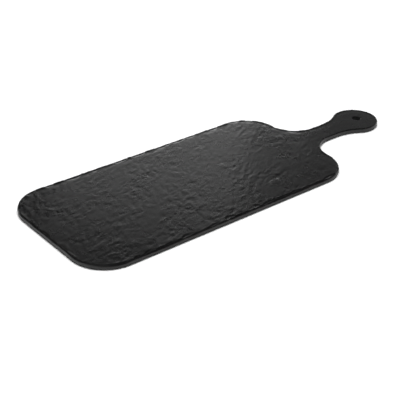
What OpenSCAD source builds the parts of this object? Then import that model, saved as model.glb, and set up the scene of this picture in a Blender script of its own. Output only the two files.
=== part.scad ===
// Slate-look melamine serving tray with a paddle handle, standing on four anti-slip feet.
// The long side runs along X with the handle at +X, the tray lies in the XY plane,
// and the origin is below its centre, on the surface that the feet stand on.

/* [Outline] */
// Overall length, from the tail end to the tip of the handle
board_length = 530; // [490:5:600]
// Width across the long sides
board_width = 200; // [170:5:250]
// Length of the serving area, from the tail end to the shoulders
body_length = 394; // [340:2:410]
// Corner radius at the tail end
tail_r = 47; // [15:1:70]
// Corner radius at the shoulders
shoulder_r = 45; // [15:1:60]

/* [Handle] */
// Width of the neck
neck_w = 33; // [26:1:44]
// Radius of the fillet between a shoulder and the neck
root_r = 38; // [10:1:45]
// Radius of the flare between the neck and the head
flare_r = 64; // [20:1:80]
// Radius of the round head
head_r = 31; // [26:0.5:36]

/* [Hanging hole] */
// Diameter of the hanging hole
hole_d = 12; // [8:0.5:18]
// Distance from the tip of the handle to the middle of the hole
hole_setback = 28; // [20:1:34]
// Bevel at both ends of the hole
hole_bevel = 0.8; // [0.2:0.1:1.5]
// Wall of the boss around the hole, below the plate
hole_wall = 4; // [2:0.5:6]

/* [Section] */
// Height of the rim, from its lower edge to the serving face
rim_h = 6.25; // [5:0.25:12]
// Thickness of the plate
plate_t = 4; // [2.5:0.25:4.5]
// Width of the rim at its lower edge
rim_w = 5; // [3.5:0.5:8]
// Width of the hewn bevel around the serving face
bevel_w = 1.25; // [0.5:0.25:3]
// Height of that bevel
bevel_h = 2.5; // [0.5:0.25:2.75]
// Radius on the rim's lower outer edge
lower_r = 1.6; // [0.4:0.2:2]
// How far the inner wall of the rim leans, so that the moulding leaves its tool
mould_draft = 0.4; // [0.1:0.1:1]

/* [Feet] */
// Diameter of an anti-slip foot
foot_d = 14; // [8:1:20]
// Height that the feet hold the rim above the table
stand_h = 1; // [1:0.25:4]
// Depth of the seat for a foot
seat_depth = 1; // [0.5:0.1:2]
// Clearance around a foot in its seat
seat_clearance = 0.2; // [0.1:0.05:0.5]
// Wall of the boss around a seat
boss_wall = 3; // [1.5:0.5:5]
// Radius on a foot's lower edge
foot_edge_r = 0.8; // [0.3:0.1:1]
// Distance from the tail end, and from the shoulders, to the middle of a foot
foot_inset_x = 44; // [30:1:80]
// Distance from a long side to the middle of a foot
foot_inset_y = 40; // [28:1:60]
// Thickness of the adhesive disc behind a foot
adhesive_t = 0.2; // [0.1:0.05:0.4]
// How far the adhesive disc stays in from the edge of its foot
adhesive_inset = 0.5; // [0.2:0.1:1.5]

/* [Hidden] */

// Turn of the outline between two points of an arc, in degrees
ARC_STEP = 5;
// Points of the outline that lie closer together than this are one point
SAME_POINT = 0.01;
// Points of the rim's rounded lower edge
LOWER_EDGE_STEPS = 4;
// Facets of a round piece
ROUND_FN = 96;
// Overlap that lets two shapes of one solid fuse, or a cut pass a face
OVERLAP = 0.5;
BOARD_COLOUR = "#2b2b2c";
FOOT_COLOUR = "#4a4a4c";
ADHESIVE_COLOUR = "#d9d6cc";

// Heights above the table
table_z = 0;
rim_z = table_z + stand_h;
top_z = rim_z + rim_h;
ceiling_z = top_z - plate_t;
seat_z = rim_z + seat_depth;

// Ends of the outline along X
tail_x = -board_length / 2;
tip_x = board_length / 2;
shoulder_x = tail_x + body_length;
side_y = board_width / 2;
neck_y = neck_w / 2;

// The flare touches the round head, which settles where the straight neck ends.
head_x = tip_x - head_r;
flare_x = head_x - sqrt(pow(head_r + flare_r, 2) - pow(neck_y + flare_r, 2));
head_turn = atan2(neck_y + flare_r, flare_x - head_x);
// The root fillet stays within the shoulder's end and the straight neck.
root_fit_r = min(root_r, side_y - shoulder_r - neck_y, flare_x - shoulder_x);

hole_x = tip_x - hole_setback;
hole_boss_r = hole_d / 2 + hole_wall;
seat_r = foot_d / 2 + seat_clearance;
boss_r = seat_r + boss_wall;

// Places of the feet, seen from the tail end towards the handle
foot_tail_x = tail_x + foot_inset_x;
foot_shoulder_x = shoulder_x - foot_inset_x;
foot_side_y = side_y - foot_inset_y;

// Arcs of the outline's left half from the tip to the tail end:
// centre, radius, first and last angle, and 1 where the board is inside the arc or -1 where it is outside.
HALF_OUTLINE = [
    [[head_x, 0], head_r, 0, head_turn, 1],
    [[flare_x, neck_y + flare_r], flare_r, head_turn - 180, -90, -1],
    [[shoulder_x + root_fit_r, neck_y + root_fit_r], root_fit_r, -90, -180, -1],
    [[shoulder_x - shoulder_r, side_y - shoulder_r], shoulder_r, 0, 90, 1],
    [[tail_x + tail_r, side_y - tail_r], tail_r, 90, 180, 1],
];

// Section of the rim as distances in from the outline and heights,
// from the serving face over the outside and the lower edge to the ceiling below the plate.
RIM_SECTION = [
    [bevel_w, top_z],
    [0, top_z - bevel_h],
    for (i = [0 : LOWER_EDGE_STEPS])
        let (a = 90 * i / LOWER_EDGE_STEPS)
        [lower_r * (1 - cos(a)), rim_z + lower_r * (1 - sin(a))],
    [rim_w - mould_draft, rim_z],
    [rim_w, ceiling_z],
];

// Points of one arc, moved in from the outline
function arc_points(arc, inset) =
    let (steps = ceil(abs(arc[3] - arc[2]) / ARC_STEP))
    [
        for (i = [0 : steps])
            let (a = arc[2] + (arc[3] - arc[2]) * i / steps)
            arc[0] + (arc[1] - arc[4] * inset) * [cos(a), sin(a)],
    ];

// The left half of the outline, moved in, with one point where an arc runs straight into the next
function left_half(inset) =
    let (points = [for (arc = HALF_OUTLINE) each arc_points(arc, inset)])
    [for (i = [0 : len(points) - 1]) if (i == 0 || norm(points[i] - points[i - 1]) > SAME_POINT) points[i]];

// The whole outline, moved in, counter-clockwise from the tip
function outline(inset) =
    let (left = left_half(inset))
    concat(left, [for (i = [len(left) - 1 : -1 : 1]) [left[i].x, -left[i].y]]);

// Triangles that fill one ring, in strips across the board from the tip to the tail end.
// Where the outline steps straight out to a shoulder, a strip starts at the step's inner points,
// and a corner triangle on each side takes in its outer point.
function filled(ring) =
    let (
        count = len(ring),
        inner = [for (i = [0 : (count - 1) / 2]) if (i == 0 || ring[i - 1].x - ring[i].x > SAME_POINT) i]
    )
    [
        for (k = [0 : len(inner) - 2])
            let (a = inner[k], b = inner[k + 1], right_a = (count - a) % count, right_b = count - b)
            each concat(
                [[a, b, right_b]],
                a > 0 ? [[a, right_b, right_a]] : [],
                b - a > 1 ? [[a, a + 1, b], [right_a, right_b, right_b + 1]] : []
            ),
    ];

// Closed skin through one outline for each point of a section, flat at both ends
module lofted_rim(section) {
    rings = [for (p = section) outline(p[0])];
    count = len(rings[0]);
    last = len(section) - 1;
    points = [for (k = [0 : last]) for (q = rings[k]) [q.x, q.y, section[k][1]]];
    sides = [
        for (k = [0 : last - 1])
            for (i = [0 : count - 1])
                let (j = (i + 1) % count, a = k * count, b = a + count)
                each [[a + i, a + j, b + j], [a + i, b + j, b + i]],
    ];
    top = [for (t = filled(rings[0])) [t[2], t[1], t[0]]];
    ceiling = [for (t = filled(rings[last])) t + last * count * [1, 1, 1]];
    polyhedron(points, concat(top, ceiling, sides));
}

// Copies its children to the four feet
module at_each_foot() {
    for (x = [foot_tail_x, foot_shoulder_x], y = [foot_side_y, -foot_side_y])
        translate([x, y, 0]) children();
}

// Round boss from the rim's lower edge up into the plate
module boss(r) {
    translate([0, 0, rim_z]) cylinder(r = r, h = ceiling_z - rim_z + OVERLAP, $fn = ROUND_FN);
}

// Bevelled bore right through the handle
module hanging_hole() {
    r = hole_d / 2;
    wide = r + hole_bevel;
    translate([0, 0, rim_z - OVERLAP]) cylinder(r = r, h = rim_h + 2 * OVERLAP, $fn = ROUND_FN);
    translate([0, 0, top_z - hole_bevel])
        cylinder(r1 = r, r2 = wide + OVERLAP, h = hole_bevel + OVERLAP, $fn = ROUND_FN);
    translate([0, 0, rim_z - OVERLAP])
        cylinder(r1 = wide + OVERLAP, r2 = r, h = hole_bevel + OVERLAP, $fn = ROUND_FN);
}

// The moulded tray: plate, rim, handle, and bosses for the feet and the hanging hole
module board() {
    color(BOARD_COLOUR) difference() {
        union() {
            lofted_rim(RIM_SECTION);
            at_each_foot() boss(boss_r);
            translate([hole_x, 0, 0]) boss(hole_boss_r);
        }
        at_each_foot()
            translate([0, 0, rim_z - OVERLAP])
                cylinder(r = seat_r, h = seat_depth + OVERLAP, $fn = ROUND_FN);
        translate([hole_x, 0, 0]) hanging_hole();
    }
}

// Anti-slip foot: a disc with a rounded lower edge that fills its seat up to the adhesive
module foot(x, y) {
    r = foot_d / 2;
    h = seat_z - adhesive_t;
    color(FOOT_COLOUR) translate([x, y, table_z]) rotate_extrude($fn = ROUND_FN) {
        translate([0, foot_edge_r]) square([r, h - foot_edge_r]);
        square([r - foot_edge_r, h]);
        translate([r - foot_edge_r, foot_edge_r]) circle(r = foot_edge_r, $fn = ROUND_FN);
    }
}

// Adhesive disc between a foot and the end of its seat
module adhesive(x, y) {
    color(ADHESIVE_COLOUR) translate([x, y, seat_z - adhesive_t])
        cylinder(r = foot_d / 2 - adhesive_inset, h = adhesive_t, $fn = ROUND_FN);
}

board();
foot(foot_tail_x, foot_side_y);  // foot_tail_left
foot(foot_tail_x, -foot_side_y);  // foot_tail_right
foot(foot_shoulder_x, foot_side_y);  // foot_shoulder_left
foot(foot_shoulder_x, -foot_side_y);  // foot_shoulder_right
adhesive(foot_tail_x, foot_side_y);  // adhesive_tail_left
adhesive(foot_tail_x, -foot_side_y);  // adhesive_tail_right
adhesive(foot_shoulder_x, foot_side_y);  // adhesive_shoulder_left
adhesive(foot_shoulder_x, -foot_side_y);  // adhesive_shoulder_right
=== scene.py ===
"""The looks of a slate-look melamine serving tray.

Its riven face, hewn edge and moulded underside, its feet, and the studio that it stands in.
"""

import math
import random

import bmesh
import bpy
import numpy as np
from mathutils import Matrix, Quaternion, Vector, noise
from mathutils.geometry import delaunay_2d_cdt
from mathutils.kdtree import KDTree


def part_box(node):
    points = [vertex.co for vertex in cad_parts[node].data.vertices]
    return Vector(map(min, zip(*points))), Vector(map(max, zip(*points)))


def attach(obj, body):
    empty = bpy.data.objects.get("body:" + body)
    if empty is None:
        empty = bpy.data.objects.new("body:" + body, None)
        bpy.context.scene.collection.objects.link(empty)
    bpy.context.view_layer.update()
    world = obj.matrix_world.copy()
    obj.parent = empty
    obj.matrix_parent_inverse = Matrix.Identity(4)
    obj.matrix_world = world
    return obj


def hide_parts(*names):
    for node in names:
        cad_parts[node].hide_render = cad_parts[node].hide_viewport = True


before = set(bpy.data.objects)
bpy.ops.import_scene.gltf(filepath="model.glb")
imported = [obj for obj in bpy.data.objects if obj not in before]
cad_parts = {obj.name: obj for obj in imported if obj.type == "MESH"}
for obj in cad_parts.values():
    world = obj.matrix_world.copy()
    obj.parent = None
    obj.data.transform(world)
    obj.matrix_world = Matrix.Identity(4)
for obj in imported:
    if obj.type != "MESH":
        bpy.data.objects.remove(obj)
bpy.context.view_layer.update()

# Lengths are in millimetres, and a mesh or a light takes them to metres with this.
MM = 0.001

# The board's overall sizes and heights come from the frame.
board_low, board_high = (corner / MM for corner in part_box("board"))
TAIL_X = board_low.x
TIP_X = board_high.x
SIDE_Y = board_high.y
RIM_Z = board_low.z
TOP_Z = board_high.z

# The outline repeats the solid's sizes.
BODY_LENGTH = 394
TAIL_R = 47
SHOULDER_R = 45
NECK_Y = 16.5
ROOT_R = 38
FLARE_R = 64
HEAD_R = 31
SHOULDER_X = TAIL_X + BODY_LENGTH
HEAD_X = TIP_X - HEAD_R
FLARE_X = HEAD_X - math.sqrt((HEAD_R + FLARE_R) ** 2 - (NECK_Y + FLARE_R) ** 2)
HEAD_TURN = math.atan2(NECK_Y + FLARE_R, FLARE_X - HEAD_X)

# Hanging hole, with its rounded mouths and the boss below the plate
HOLE_SETBACK = 28
HOLE_X = TIP_X - HOLE_SETBACK
HOLE = (HOLE_X, 0)
HOLE_R = 6
HOLE_BEVEL = 0.8
HOLE_WALL = 4
HOLE_BOSS_R = HOLE_R + HOLE_WALL

# Section of the moulding
PLATE_T = 4
RIM_W = 5
LOWER_R = 1.6
LOWER_STEPS = 6
RIM_BEVEL = 0.3
INNER_FILLET = 0.6
CEILING_Z = TOP_Z - PLATE_T
# The rim is narrower at its foot by the mould's draft, of which a little is left where the fillet starts.
MOULD_DRAFT = 0.4
DRAFT_AT_FILLET = 0.1
# The middle point of a small rounding lies this share of its radius from both faces.
ROUNDING_MIDDLE = 0.3

# Seats of the feet
SEAT_R = 7.2
SEAT_DEPTH = 1
BOSS_WALL = 3
BOSS_R = SEAT_R + BOSS_WALL
BOSS_EDGE_R = 0.4
FEET = ("tail_left", "tail_right", "shoulder_left", "shoulder_right")

# Spacing of the mesh along the outline, over the riven face and over the plain underside
EDGE_STEP = 1.1
FACE_STEP = 1.14
UNDER_STEP = 9
ROUND_STEPS = 64
# Gap from the face's points to its edge rings, as a share of their spacing, and to the hole's mouth
FACE_GAP = 0.7
HOLE_GAP = 0.5
# Edges that turn more sharply than this stay crisp.
SHARP_ANGLE = math.radians(40)
# Points closer together than this are one, and no division is by less than NEXT_TO_NOTHING.
SAME_POINT = 1e-5
NEXT_TO_NOTHING = 1e-6
# Kind of filling that keeps only the triangles within a ring
WITHIN_RING = 1


def arc(centre, radius, first, last, inside=1):
    """Points and outward normals along an arc.

    inside is 1 where the board is within the arc and -1 where it is outside.
    """
    steps = max(1, round(abs(last - first) * radius / EDGE_STEP))
    turns = [first + (last - first) * i / steps for i in range(steps)]
    out = [Vector((math.cos(a), math.sin(a))) for a in turns]
    return [(Vector(centre) + radius * n, inside * n) for n in out]


def straight(start, end):
    """Points and outward normals along a straight stretch that runs with the board on its left."""
    start, end = Vector(start), Vector(end)
    run = end - start
    steps = max(1, round(run.length / EDGE_STEP))
    normal = Vector((run.y, -run.x)).normalized()
    return [(start + run * i / steps, normal) for i in range(steps)]


def board_outline():
    """Points and outward normals of the whole outline, counter-clockwise from the tip of the handle."""
    root_x, root_y = SHOULDER_X + ROOT_R, NECK_Y + ROOT_R
    shoulder_y, tail_y = SIDE_Y - SHOULDER_R, SIDE_Y - TAIL_R
    quarter = math.pi / 2
    left = (
        arc((HEAD_X, 0), HEAD_R, 0, HEAD_TURN)
        + arc((FLARE_X, NECK_Y + FLARE_R), FLARE_R, HEAD_TURN - math.pi, -quarter, -1)
        + straight((FLARE_X, NECK_Y), (root_x, NECK_Y))
        + arc((root_x, root_y), ROOT_R, -quarter, -math.pi, -1)
        + straight((SHOULDER_X, root_y), (SHOULDER_X, shoulder_y))
        + arc((SHOULDER_X - SHOULDER_R, shoulder_y), SHOULDER_R, 0, quarter)
        + straight((SHOULDER_X - SHOULDER_R, SIDE_Y), (TAIL_X + TAIL_R, SIDE_Y))
        + arc((TAIL_X + TAIL_R, tail_y), TAIL_R, quarter, math.pi)
        + straight((TAIL_X, tail_y), (TAIL_X, 0))
    )
    middle = [(Vector((TAIL_X, 0)), Vector((-1, 0)))]
    mirror = Vector((1, -1))
    right = [(p * mirror, n * mirror) for p, n in reversed(left[1:])]
    whole = left + middle + right
    return np.array([p for p, n in whole]), np.array([n for p, n in whole])


OUTLINE, OUTWARD = board_outline()
STEP_LENGTHS = np.linalg.norm(np.roll(OUTLINE, -1, axis=0) - OUTLINE, axis=1)
PERIMETER = float(STEP_LENGTHS.sum())
ALONG = np.concatenate([[0.0], np.cumsum(STEP_LENGTHS)[:-1]])


def smooth(low, high, value):
    """0 below low, 1 above high and an S-curve between them."""
    t = np.clip((value - low) / (high - low), 0.0, 1.0)
    return t * t * (3.0 - 2.0 * t)


# The riven face is that of the split slate that the mould was taken from, long along its grain.
# Its mean plane lies a little below the plain face.
FACE_SINK = 0.1
FACE_Z = TOP_Z - FACE_SINK
GRAIN_TURN = math.radians(42)
GRAIN_STRETCH = 1.4
WARP_SIZE = 15
WARP_REACH = 2.5
# The warp starts from this seed, so that every run gives the same face.
WARP_SEED = 8
noise.seed_set(WARP_SEED)
# Each layer has a size across and a height. Lumps and flakes share one level of the noise,
# and the other layers have their own, so as not to repeat them.
SWELL_SIZE = 75
SWELL_HEIGHT = 0.16
SWELL_LEVEL = 5.5
LUMP_SIZE = 7.5
LUMP_HEIGHT = 0.32
# Flakes have the least share of their height everywhere, and up to the other one more in some places.
FLAKES = ({"size": 3.9, "height": 0.2}, {"size": 2.1, "height": 0.1})
FLAKE_PATCH = 12
FLAKE_LEVEL = 17.7
FLAKE_LEAST = 0.7
FLAKE_MORE = 1.7
# Clefts are short steps, steeper the smaller their softness.
CLEFT_SIZE = 19
CLEFT_HEIGHT = 0.28
CLEFT_SOFTNESS = 0.1
CLEFT_SHARE_LEVEL = 3.3
CLEFT_SIDE_LEVEL = 11.2
# Dimples differ in depth, dealt out by a factor that sets neighbours apart.
DIMPLE_SPACING = 13
DIMPLE_R = 2.8
DIMPLE_DEPTH = 0.38
DIMPLE_DEALING = 63.1
# The relief is livelier in some patches than in others, and calm on the handle.
PATCH_SIZE = 38
PATCH_LEVEL = 36.63
PATCH_MEAN = 0.75
PATCH_SWING = 0.55
PATCH_LEAST = 0.3
HANDLE_CALM = 0.4
CALM_REACH = 60


def noise_layer(place, size, level=0):
    """Smooth noise of about one size, from -1 to 1."""
    return noise.noise(place / size + Vector((0, 0, level)))


def riven_height(x, y):
    """Height of the riven face above its mean plane at a place."""
    warp = noise.noise_vector(Vector((x, y, 0)) / WARP_SIZE) * WARP_REACH
    x_warped, y_warped = x + warp.x, y + warp.y
    along = x_warped * math.cos(GRAIN_TURN) + y_warped * math.sin(GRAIN_TURN)
    across = y_warped * math.cos(GRAIN_TURN) - x_warped * math.sin(GRAIN_TURN)
    place = Vector((along / GRAIN_STRETCH, across * GRAIN_STRETCH, 0))

    flaky = FLAKE_LEAST + FLAKE_MORE * max(0.0, noise_layer(place, FLAKE_PATCH, FLAKE_LEVEL))
    flakes = sum(flake["height"] * noise_layer(place, flake["size"]) for flake in FLAKES)
    lumps = LUMP_HEIGHT * noise_layer(place, LUMP_SIZE) + flaky * flakes

    cleft_share = max(0.0, noise_layer(place, CLEFT_SIZE, CLEFT_SHARE_LEVEL))
    cleft_side = noise_layer(place, CLEFT_SIZE, CLEFT_SIDE_LEVEL)
    cleft = CLEFT_HEIGHT * cleft_share * math.tanh(cleft_side / CLEFT_SOFTNESS)

    (dimple_away, *_), (dimple, *_) = noise.voronoi(place / DIMPLE_SPACING)
    struck = max(0.0, noise.cell(dimple * DIMPLE_DEALING))
    dimple_share = max(0.0, 1 - (dimple_away * DIMPLE_SPACING / DIMPLE_R) ** 2)

    swell = SWELL_HEIGHT * noise_layer(place, SWELL_SIZE, SWELL_LEVEL)
    lively = max(PATCH_LEAST, PATCH_MEAN + PATCH_SWING * noise_layer(place, PATCH_SIZE, PATCH_LEVEL))
    relief = swell + lively * (lumps + cleft - DIMPLE_DEPTH * struck * dimple_share ** 2)
    on_handle = float(smooth(SHOULDER_X, SHOULDER_X + CALM_REACH, x))
    return relief * (1 - (1 - HANDLE_CALM) * on_handle)


def riven_heights(places):
    return np.array([riven_height(x, y) for x, y in places])


# The edge is hewn up to the shoulders and turns plain along the root of the handle.
HEWN_UNTIL = SHOULDER_X - 4
PLAIN_FROM = SHOULDER_X + 30
ROUGHLY_HEWN = 1 - smooth(HEWN_UNTIL, PLAIN_FROM, OUTLINE[:, 0])

# A rough bevel runs all round. Its height wavers less than its width,
# and it leaves a strip of upright wall above the rounded lower edge.
BEVELS = {
    "near_side": {"width": 1.6, "height": 2.6},
    "far_side": {"width": 0.4, "height": 2.0},
    "end": {"width": 1.5, "height": 2.0},
    "handle": {"width": 0.9, "height": 1.3},
}
BEVEL_WIDTH_WAVE = 0.4
BEVEL_HEIGHT_WAVE = 0.4 * BEVEL_WIDTH_WAVE
LEAST_WALL = 0.3
LOWEST_BEVEL_Z = RIM_Z + LOWER_R + LEAST_WALL

# Waves of the edge along the outline, and how much of each is in its roughness
EDGE_WAVES = (
    {"size": 26, "level": 2.2, "share": 1},
    {"size": 9, "level": 4.6, "share": 0.7},
    {"size": 3.5, "level": 8.8, "share": 0.4},
)

# A faint lip stands up beside the bevel, and the second wave raises and lowers it.
LIP_W = 3.5
LIP_H = 0.16
LIP_MEAN = 0.5
LIP_SWING = 2.5
LIP_MOST = 2.5

# Along the far side and round the tip, the face dips a little before it rises to the edge.
MARGIN_FACING = (0.62, 0.78)
MARGIN_EASE = 0.6
MARGIN_DIP = 0.2
MARGIN_LIP = 0.26
MARGIN_RISE = 5.2
MARGIN_W = 12.2

# Chips struck out of the edge: their gaps and lengths along it, and their widths and depths from the
# narrowest to the widest. A chip falls by the part step of its depth within the share scarp of its width,
# slopes on from there, and the part heal of it has come back at the outline.
NEAR_CHIPS = {
    "gap": (3, 20),
    "length": (8, 30),
    "width": (2.2, 8.5),
    "depth": (1.3, 0.75),
    "step": 0.75,
    "scarp": 0.35,
    "heal": 0.6,
}
END_CHIPS = {
    "gap": (8, 40),
    "length": (7, 20),
    "width": (1.8, 4.5),
    "depth": (1.0, 0.5),
    "step": 0.75,
    "scarp": 0.35,
    "heal": 0.5,
}
FAR_CHIPS = {
    "gap": (8, 34),
    "length": (9, 26),
    "width": (6.5, 8.8),
    "depth": (0.6, 0.8),
    "step": 1,
    "scarp": 0.5,
    "heal": 0.8,
}
# An edge that faces across the board by more than this belongs to a long side.
SIDE_FACING = 0.5
# The gap to the next chip starts at this share of a chip's length.
CHIP_ADVANCE = 0.5
CHIP_SEED = 8

# Distances in from the outline of the mesh's rings, closest together over the bevel
EDGE_RINGS = (0, 0.4, 0.9, 1.4, 1.9, 2.5, 3.1, 3.8, 4.6, 5.5, 6.4, 7.3, 8.2, 9.1, 10.1, 11.1, MARGIN_W)


def struck_chips():
    """Middles along the outline, lengths, widths, depths and kinds of the chips.

    The near side has sharp chips, and the far side shallow dishes.
    """
    draw = random.Random(CHIP_SEED)
    chips = []
    along = 0.0
    while along < PERIMETER:
        across = OUTWARD[np.searchsorted(ALONG, along) - 1][1]
        kind = FAR_CHIPS if across > SIDE_FACING else NEAR_CHIPS if across < -SIDE_FACING else END_CHIPS
        length = draw.uniform(*kind["length"])
        # The square makes narrow chips the more common.
        share = draw.random() ** 2
        width, depth = (first + (last - first) * share for first, last in (kind["width"], kind["depth"]))
        chips.append((along, length, width, depth, kind))
        along += length * CHIP_ADVANCE + draw.uniform(*kind["gap"])
    return chips


def edge_wave(size, level):
    """Smooth noise along the outline, from -1 to 1, that closes on itself."""
    radius = PERIMETER / (2 * math.pi * size)
    turns = 2 * math.pi * ALONG / PERIMETER
    places = [Vector((radius * math.cos(a), radius * math.sin(a), level)) for a in turns]
    return np.array([noise.noise(place) for place in places])


CHIPS = struck_chips()
WAVES = [edge_wave(edge["size"], edge["level"]) for edge in EDGE_WAVES]


def bevel_size(name):
    """Width or height of the bevel for each point of the outline, blended by the way it faces."""
    across = OUTWARD[:, 1]
    shares = {
        "near_side": np.where(across < 0, across ** 2, 0) * ROUGHLY_HEWN,
        "far_side": np.where(across > 0, across ** 2, 0) * ROUGHLY_HEWN,
        "end": OUTWARD[:, 0] ** 2 * ROUGHLY_HEWN,
        "handle": 1 - ROUGHLY_HEWN,
    }
    return sum(BEVELS[place][name] * share for place, share in shares.items())


def hewn_drop(inset):
    """How far the edge falls below the face at one distance in, for each point of the outline."""
    rough = sum(edge["share"] * wave for edge, wave in zip(EDGE_WAVES, WAVES)) * ROUGHLY_HEWN
    width = bevel_size("width") * (1 + BEVEL_WIDTH_WAVE * rough)
    height = bevel_size("height") * (1 + BEVEL_HEIGHT_WAVE * rough)
    drop = height * np.clip(1 - inset / width, 0, 1)

    lip = LIP_H * np.clip(LIP_MEAN + LIP_SWING * WAVES[1] * ROUGHLY_HEWN, 0, LIP_MOST)
    drop = drop - lip * (1 - smooth(0, LIP_W, inset - width))

    dished = smooth(0, MARGIN_EASE, OUTWARD @ np.array(MARGIN_FACING))
    risen = 1 - smooth(0, MARGIN_RISE, inset)
    dip = 1 - risen - smooth(MARGIN_RISE, MARGIN_W, inset)
    drop = drop + dished * (MARGIN_DIP * dip - MARGIN_LIP * risen)

    for middle, length, chip_width, depth, kind in CHIPS:
        step, scarp, heal = kind["step"], kind["scarp"], kind["heal"]
        away = (ALONG - middle + PERIMETER / 2) % PERIMETER - PERIMETER / 2
        reach = chip_width * np.sqrt(np.clip(1 - (2 * away / length) ** 2, 0, 1))
        share = np.clip(1 - inset / np.maximum(reach, NEXT_TO_NOTHING), 0, 1)
        fall = step * smooth(0, scarp, share) + (1 - step) * share
        bite = depth * fall * (1 - heal * smooth(scarp, 1, share))
        drop = np.where(share > 0, np.maximum(drop, bite * ROUGHLY_HEWN), drop)
    return drop


class Skin:
    """Points and faces of one closed piece, in millimetres."""

    def __init__(self):
        self.points = []
        self.faces = []

    def ring(self, places, heights):
        """Adds a closed ring of points, or loose ones, and returns their numbers."""
        first = len(self.points)
        self.points += [(x, y, z) for (x, y), z in zip(places, np.broadcast_to(heights, len(places)))]
        return list(range(first, len(self.points)))

    def bridge(self, *rings):
        """Joins each ring to the next with four-sided faces."""
        for near, far in zip(rings, rings[1:]):
            for i in range(len(near)):
                j = (i + 1) % len(near)
                self.faces.append((near[i], near[j], far[j], far[i]))

    def fill(self, outer, holes=(), loose=()):
        """Fills the area within a ring, less its holes, with triangles that take in the loose points."""
        rings = [outer, *holes]
        numbers = [n for ring in rings for n in ring] + list(loose)
        hole_of = {n: k for k, ring in enumerate(holes) for n in ring}
        edges = []
        start = 0
        for ring in rings:
            edges += [(start + i, start + (i + 1) % len(ring)) for i in range(len(ring))]
            start += len(ring)
        flat = [Vector(self.points[n][:2]) for n in numbers]
        _, _, triangles, origins, *_ = delaunay_2d_cdt(flat, edges, [], WITHIN_RING, SAME_POINT)
        for triangle in triangles:
            corners = [numbers[origins[v][0]] for v in triangle]
            within = {hole_of.get(n) for n in corners}
            if len(within) > 1 or None in within:
                self.faces.append(corners)

    def build(self, name):
        """Makes the piece's object, with its faces turned outwards and smooth up to the sharp angle."""
        mesh = bpy.data.meshes.new(name)
        mesh.from_pydata((np.array(self.points) * MM).tolist(), [], self.faces)
        shape = bmesh.new()
        shape.from_mesh(mesh)
        bmesh.ops.recalc_face_normals(shape, faces=shape.faces)
        open_edges = [e for e in shape.edges if not e.is_manifold]
        assert not open_edges, f"{name} has {len(open_edges)} open edges"
        shape.to_mesh(mesh)
        shape.free()
        mesh.shade_smooth()
        mesh.set_sharp_from_angle(angle=SHARP_ANGLE)
        piece = bpy.data.objects.new(name, mesh)
        bpy.context.scene.collection.objects.link(piece)
        return piece


def inset_ring(inset):
    return OUTLINE - OUTWARD * np.reshape(inset, (-1, 1))


def circle(centre, radius):
    turns = np.arange(ROUND_STEPS) * 2 * math.pi / ROUND_STEPS
    return np.array(centre) + radius * np.stack([np.cos(turns), np.sin(turns)], axis=1)


def lattice(step, margin, keep_out):
    """Places of a triangular lattice, at least margin in from the outline and clear of some circles."""
    tree = KDTree(len(OUTLINE))
    for i, (x, y) in enumerate(OUTLINE):
        tree.insert((x, y, 0), i)
    tree.balance()
    places = []
    # Its rows lie closer together than its points, and every other row is moved by half a step.
    row_step = step * math.sqrt(0.75)
    for row in range(int(2 * SIDE_Y / row_step) + 1):
        y = -SIDE_Y + row * row_step
        for column in range(int((TIP_X - TAIL_X) / step) + 1):
            x = TAIL_X + (column + 0.5 * (row % 2)) * step
            _, i, _ = tree.find((x, y, 0))
            inset = float(np.dot(OUTLINE[i] - (x, y), OUTWARD[i]))
            clear = all(math.dist((x, y), centre) > radius for centre, radius in keep_out)
            if inset > margin and clear:
                places.append((x, y))
    return np.array(places)


def foot_middle(foot):
    low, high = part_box(f"foot_{foot}")
    return ((low + high) / MM / 2).xy


def rounded(inner_r, outer_z, radius, steps=4):
    """Radius and height along a quarter-round mouth that widens from a bore to a face above it."""
    for i in range(steps + 1):
        a = math.pi / 2 * i / steps
        yield inner_r + radius * (1 - math.cos(a)), outer_z - radius * (1 - math.sin(a))


def boss_section(radius):
    """Radius and height down a boss, from the fillet at the ceiling to its rounded lower edge."""
    yield radius + INNER_FILLET, CEILING_Z
    yield radius + INNER_FILLET * ROUNDING_MIDDLE, CEILING_Z - INNER_FILLET * ROUNDING_MIDDLE
    yield radius, CEILING_Z - INNER_FILLET
    yield radius, RIM_Z + BOSS_EDGE_R
    yield radius - BOSS_EDGE_R * ROUNDING_MIDDLE, RIM_Z + BOSS_EDGE_R * ROUNDING_MIDDLE
    yield radius - BOSS_EDGE_R, RIM_Z


def rim_section():
    """Distance in from the outline and height, round the rim's lower edge and up to the ceiling."""
    for i in range(LOWER_STEPS + 1):
        a = math.pi / 2 * i / LOWER_STEPS
        yield LOWER_R * (1 - math.cos(a)), RIM_Z + LOWER_R * (1 - math.sin(a))
    yield RIM_W - MOULD_DRAFT - RIM_BEVEL, RIM_Z
    yield RIM_W - MOULD_DRAFT, RIM_Z + RIM_BEVEL
    yield RIM_W - DRAFT_AT_FILLET, CEILING_Z - INNER_FILLET
    yield RIM_W + INNER_FILLET * ROUNDING_MIDDLE, CEILING_Z - INNER_FILLET * ROUNDING_MIDDLE
    yield RIM_W + INNER_FILLET, CEILING_Z


def riven_face(skin):
    """The riven face with its hewn edge; returns the ring of the outline and the hole's upper mouth."""
    edge = []
    for inset in EDGE_RINGS:
        places = inset_ring(inset)
        heights = FACE_Z - hewn_drop(inset) + riven_heights(places)
        edge.append(skin.ring(places, np.maximum(heights, LOWEST_BEVEL_Z)))
    skin.bridge(*edge)
    mouth = [skin.ring(circle(HOLE, r), z) for r, z in rounded(HOLE_R, FACE_Z, HOLE_BEVEL)]
    margin = EDGE_RINGS[-1] + FACE_GAP * FACE_STEP
    face = lattice(FACE_STEP, margin, [(HOLE, HOLE_R + HOLE_BEVEL + HOLE_GAP)])
    loose = skin.ring(face, FACE_Z + riven_heights(face))
    skin.fill(edge[-1], [mouth[-1]], loose)
    return edge[0], mouth


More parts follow.
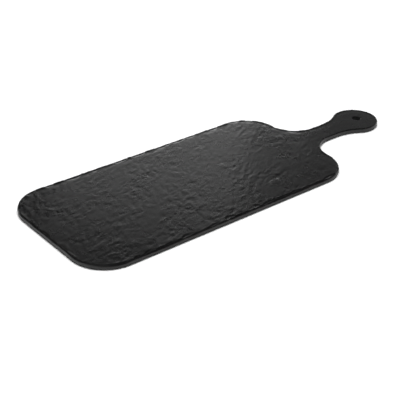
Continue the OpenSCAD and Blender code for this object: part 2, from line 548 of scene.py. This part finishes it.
def moulded_rim(skin, outline_ring):
    """The smooth wall below the hewn edge and the rim's inner side; returns its ring at the ceiling."""
    rim = [outline_ring]
    rim += [skin.ring(inset_ring(inset), z) for inset, z in rim_section()]
    skin.bridge(*rim)
    return rim[-1]


def foot_boss(skin, middle):
    """A boss below the plate with the seat of a foot; returns its ring at the ceiling."""
    boss = [skin.ring(circle(middle, r), z) for r, z in boss_section(BOSS_R)]
    seat = [skin.ring(circle(middle, SEAT_R), z) for z in (RIM_Z, RIM_Z + SEAT_DEPTH)]
    skin.bridge(*boss, *seat)
    skin.fill(seat[-1])
    return boss[0]


def hole_boss(skin, mouth):
    """The boss round the hanging hole, with the bore up to its mouth; returns its ring at the ceiling."""
    boss = [skin.ring(circle(HOLE, r), z) for r, z in boss_section(HOLE_BOSS_R)]
    lower_mouth = [skin.ring(circle(HOLE, r), 2 * RIM_Z - z) for r, z in rounded(HOLE_R, RIM_Z, HOLE_BEVEL)]
    skin.bridge(*boss, *reversed(lower_mouth), *mouth)
    return boss[0]


def make_board():
    """The moulded tray as one closed skin, from the riven face round the edge to the underside."""
    skin = Skin()
    outline_ring, mouth = riven_face(skin)
    ceiling_ring = moulded_rim(skin, outline_ring)
    middles = [foot_middle(foot) for foot in FEET]
    bosses = [foot_boss(skin, middle) for middle in middles] + [hole_boss(skin, mouth)]

    # Ceiling of the shallow hollow under the plate
    gap = UNDER_STEP / 2
    keep_out = [(middle, BOSS_R + gap) for middle in middles] + [(HOLE, HOLE_BOSS_R + gap)]
    ceiling = lattice(UNDER_STEP, RIM_W + gap, keep_out)
    skin.fill(ceiling_ring, bosses, skin.ring(ceiling, CEILING_Z))
    return skin.build("tray_board")


def linear(colour):
    """An sRGB hex colour as linear red, green, blue and alpha."""
    parts = [int(colour[i:i + 2], 16) / 255 for i in (1, 3, 5)]
    return [p / 12.92 if p <= 0.04045 else ((p + 0.055) / 1.055) ** 2.4 for p in parts] + [1.0]


def add(tree, kind, inputs, stops=(), **own):
    """Adds a node.

    inputs links or sets its sockets, stops are a ramp's places and colours, and own its other settings.
    """
    node = tree.nodes.new(kind)
    for name, value in own.items():
        setattr(node, name, value)
    for name, value in inputs.items():
        if isinstance(value, bpy.types.NodeSocket):
            tree.links.new(value, node.inputs[name])
        else:
            node.inputs[name].default_value = value
    for i, (place, colour) in enumerate(stops):
        elements = node.color_ramp.elements
        element = elements[i] if i < len(elements) else elements.new(place)
        element.position, element.color = place, linear(colour)
    return node


def new_material(name):
    """An empty material and its node tree."""
    material = bpy.data.materials.new(name)
    material.use_nodes = True
    tree = material.node_tree
    tree.nodes.clear()
    return material, tree


def scale_of(size):
    """Scale of a noise texture whose blotches are about one size across."""
    return 1 / (size * MM)


# Melamine: its pigment clouds over a hand's breadth. Its grit is hundredths of a millimetre across,
# too fine to show, so it is drawn coarser.
CLOUD_SIZE = 40
GRIT_SIZE = 1.1
GRIT_HEIGHT = 0.12
# The flash of the mould was sanded off the wall below this height, fading out upwards.
SANDED_BELOW = 4.4
SANDING_FADE = 0.6
# The hole was drilled after moulding, so the bore is matt: fully up to the first distance past its radius,
# measured from its middle, and not at all past the second.
BORE_MATT = 0.7
BORE_FADED = 1


def melamine_slate():
    """Compression-moulded melamine, pigmented black: satin from the riven mould, with a stony grit."""
    material, tree = new_material("melamine_slate")
    place = add(tree, "ShaderNodeTexCoord", {}).outputs["Object"]
    cloud = add(tree, "ShaderNodeTexNoise", {
        "Vector": place,
        "Scale": scale_of(CLOUD_SIZE),
        "Detail": 3,
    }).outputs["Fac"]
    tone = add(tree, "ShaderNodeValToRGB", {"Fac": cloud}, ((0.3, "#121212"), (0.75, "#181818")))
    gloss = add(tree, "ShaderNodeMapRange", {"Value": cloud, "To Min": 0.24, "To Max": 0.31})
    height = add(tree, "ShaderNodeSeparateXYZ", {"Vector": place}).outputs["Z"]
    sanded = add(tree, "ShaderNodeMapRange", {
        "Value": height,
        "From Min": SANDED_BELOW * MM,
        "From Max": (SANDED_BELOW + SANDING_FADE) * MM,
        "To Min": 0.5,
        "To Max": 0,
    })
    bore_middle = (HOLE_X * MM, 0, (RIM_Z + TOP_Z) / 2 * MM)
    away = add(tree, "ShaderNodeVectorMath", {0: place, 1: bore_middle}, operation="DISTANCE")
    bored = add(tree, "ShaderNodeMapRange", {
        "Value": away.outputs["Value"],
        "From Min": (HOLE_R + BORE_MATT) * MM,
        "From Max": (HOLE_R + BORE_FADED) * MM,
        "To Min": 0.95,
        "To Max": 0,
    })
    worked = add(tree, "ShaderNodeMath", {
        0: sanded.outputs["Result"],
        1: bored.outputs["Result"],
    }, operation="MAXIMUM")
    rough = add(tree, "ShaderNodeMath", {
        0: gloss.outputs["Result"],
        1: worked.outputs["Value"],
    }, operation="MAXIMUM")
    grit = add(tree, "ShaderNodeTexNoise", {"Vector": place, "Scale": scale_of(GRIT_SIZE), "Detail": 2})
    bump = add(tree, "ShaderNodeBump", {
        "Height": grit.outputs["Fac"],
        "Strength": 0.35,
        "Distance": GRIT_HEIGHT * MM,
    })
    shader = add(tree, "ShaderNodeBsdfPrincipled", {
        "Base Color": tone.outputs["Color"],
        "Roughness": rough.outputs["Value"],
        "IOR": 1.5,
        "Normal": bump.outputs["Normal"],
    })
    add(tree, "ShaderNodeOutputMaterial", {"Surface": shader.outputs["BSDF"]})
    return material


# Silicone: the grain that its mould leaves, drawn coarser than it is so that it shows
GRAIN_SIZE = 0.8
GRAIN_HEIGHT = 0.05


def silicone_rubber():
    """Moulded silicone rubber: dark grey and matt, with a faint grain."""
    material, tree = new_material("silicone_rubber")
    place = add(tree, "ShaderNodeTexCoord", {}).outputs["Object"]
    grain = add(tree, "ShaderNodeTexNoise", {
        "Vector": place,
        "Scale": scale_of(GRAIN_SIZE),
        "Detail": 2,
    }).outputs["Fac"]
    tone = add(tree, "ShaderNodeValToRGB", {"Fac": grain}, ((0, "#434345"), (1, "#4f4f52")))
    bump = add(tree, "ShaderNodeBump", {"Height": grain, "Strength": 0.3, "Distance": GRAIN_HEIGHT * MM})
    shader = add(tree, "ShaderNodeBsdfPrincipled", {
        "Base Color": tone.outputs["Color"],
        "Roughness": 0.62,
        "IOR": 1.41,
        "Normal": bump.outputs["Normal"],
    })
    add(tree, "ShaderNodeOutputMaterial", {"Surface": shader.outputs["BSDF"]})
    return material


# Adhesive: the mottle of its film, drawn coarser than it is so that it shows
MOTTLE_SIZE = 1.5


def acrylic_adhesive():
    """Acrylic transfer adhesive: a pale, slightly glossy film with a fibrous mottle."""
    material, tree = new_material("acrylic_adhesive")
    place = add(tree, "ShaderNodeTexCoord", {}).outputs["Object"]
    mottle = add(tree, "ShaderNodeTexNoise", {"Vector": place, "Scale": scale_of(MOTTLE_SIZE), "Detail": 3})
    tone = add(tree, "ShaderNodeValToRGB", {"Fac": mottle.outputs["Fac"]}, ((0, "#cfcbbf"), (1, "#e0ddd3")))
    shader = add(tree, "ShaderNodeBsdfPrincipled", {
        "Base Color": tone.outputs["Color"],
        "Roughness": 0.45,
        "IOR": 1.47,
    })
    add(tree, "ShaderNodeOutputMaterial", {"Surface": shader.outputs["BSDF"]})
    return material


def matt_white_paint():
    """Matt white paint of the studio's table: even, with no shine."""
    material, tree = new_material("matt_white_paint")
    shader = add(tree, "ShaderNodeBsdfDiffuse", {"Color": linear("#fbfbfb")})
    add(tree, "ShaderNodeOutputMaterial", {"Surface": shader.outputs["BSDF"]})
    return material


def dress(piece, material):
    piece.data.materials.clear()
    piece.data.materials.append(material)


def direction(turn, height):
    """Unit vector from the object to a place round it; turn 0 is on the -Y side and 90 on the +X side."""
    turn, height = math.radians(turn), math.radians(height)
    level = math.cos(height)
    return Vector((math.sin(turn) * level, -math.cos(turn) * level, math.sin(height)))


# Camera at the photograph's viewing angle: turn, height and roll in degrees, and the point it looks at
VIEW_TURN = -38.62
VIEW_HEIGHT = 30.05
VIEW_ROLL = 0.29
VIEW_DISTANCE = 1246.7
VIEW_POINT = (-69.3, -34.1, 0)
FRAME_PIXELS = 400
FOCAL_PIXELS = 1024.4
SENSOR_WIDTH = 36


def make_camera():
    data = bpy.data.cameras.new("camera")
    data.sensor_width = SENSOR_WIDTH
    data.lens = FOCAL_PIXELS * SENSOR_WIDTH / FRAME_PIXELS
    camera = bpy.data.objects.new("camera", data)
    bpy.context.scene.collection.objects.link(camera)
    back = direction(VIEW_TURN, VIEW_HEIGHT)
    camera.location = (Vector(VIEW_POINT) + back * VIEW_DISTANCE) * MM
    roll = Quaternion((0, 0, 1), math.radians(VIEW_ROLL))
    camera.rotation_euler = ((-back).to_track_quat("-Z", "Y") @ roll).to_euler()
    bpy.context.scene.camera = camera


def soft_light(name, turn, height, distance, size, power, aim=(0, 0, 0)):
    """A rectangular soft box, some way from a place on the object and pointing at it."""
    data = bpy.data.lights.new(name, "AREA")
    data.shape = "RECTANGLE"
    data.size, data.size_y = (side * MM for side in size)
    data.energy = power
    light = bpy.data.objects.new(name, data)
    light.visible_camera = False
    bpy.context.scene.collection.objects.link(light)
    away = direction(turn, height)
    light.location = (Vector(aim) + away * distance) * MM
    light.rotation_euler = (-away).to_track_quat("-Z", "Y").to_euler()
    return light


# The table reaches this far each way.
TABLE_REACH = 6000

# The room is dark, but for a pale wall low all round that fades out between two heights in degrees.
WALL_FULL = 2
WALL_END = 16
WALL_STRENGTH = 0.408
DARK_STRENGTH = 0.008

# Soft glows in the room, behind, in front to the left, and overhead: how far each reaches in degrees,
# within what angle it is full, and how bright it is
GLOWS = (
    {"turn": 130, "height": 15.4, "reach": 27, "full": 1, "strength": 0.253},
    {"turn": -55, "height": 32, "reach": 42, "full": 5, "strength": 0.22},
    {"turn": 0, "height": 90, "reach": 28, "full": 6, "strength": 0.8},
)


def make_table():
    """The studio's white table, on which the tray stands."""
    reach = TABLE_REACH * MM
    mesh = bpy.data.meshes.new("floor")
    corners = [(-reach, -reach, 0), (reach, -reach, 0), (reach, reach, 0), (-reach, reach, 0)]
    mesh.from_pydata(corners, [], [(0, 1, 2, 3)])
    floor = bpy.data.objects.new("floor", mesh)
    bpy.context.scene.collection.objects.link(floor)
    dress(floor, matt_white_paint())


def make_lights():
    """A wide soft box high overhead, which keeps the table white, and two small ones low behind the tray."""
    overhead = soft_light("overhead", turn=120, height=89, distance=5700, size=(4500, 4500), power=405)
    # The satin face mirrors the room, not this light.
    overhead.visible_glossy = False
    soft_light(
        "rear_panel", turn=134.2, height=25.7, distance=500, size=(375, 227), power=0.126, aim=(-158, 113, 0),
    )
    soft_light(
        "low_strip", turn=142.2, height=7, distance=500, size=(593, 80), power=0.381, aim=(-127, 60, 0),
    )


def make_room():
    """The room that the satin face mirrors: its low wall and its glows."""
    world = bpy.data.worlds.new("studio")
    bpy.context.scene.world = world
    world.use_nodes = True
    tree = world.node_tree
    tree.nodes.clear()
    place = add(tree, "ShaderNodeTexCoord", {}).outputs["Generated"]
    upward = add(tree, "ShaderNodeSeparateXYZ", {"Vector": place}).outputs["Z"]
    room = add(tree, "ShaderNodeMapRange", {
        "Value": upward,
        "From Min": math.sin(math.radians(WALL_FULL)),
        "From Max": math.sin(math.radians(WALL_END)),
        "To Min": WALL_STRENGTH,
        "To Max": DARK_STRENGTH,
    }, interpolation_type="SMOOTHSTEP").outputs["Result"]
    for glow in GLOWS:
        middle = direction(glow["turn"], glow["height"])
        toward = add(tree, "ShaderNodeVectorMath", {0: place, 1: middle}, operation="DOT_PRODUCT")
        share = add(tree, "ShaderNodeMapRange", {
            "Value": toward.outputs["Value"],
            "From Min": math.cos(math.radians(glow["reach"])),
            "From Max": math.cos(math.radians(glow["full"])),
            "To Min": 0,
            "To Max": glow["strength"],
        }, interpolation_type="SMOOTHSTEP").outputs["Result"]
        room = add(tree, "ShaderNodeMath", {0: room, 1: share}, operation="ADD").outputs["Value"]
    sky = add(tree, "ShaderNodeBackground", {"Strength": room})
    add(tree, "ShaderNodeOutputWorld", {"Surface": sky.outputs["Background"]})


make_camera()
board = make_board()
dress(board, melamine_slate())
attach(board, "root")
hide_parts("board")
rubber = silicone_rubber()
film = acrylic_adhesive()
for foot in FEET:
    dress(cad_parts[f"foot_{foot}"], rubber)
    dress(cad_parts[f"adhesive_{foot}"], film)
make_table()
make_lights()
make_room()
bpy.context.scene.view_settings.view_transform = "Standard"
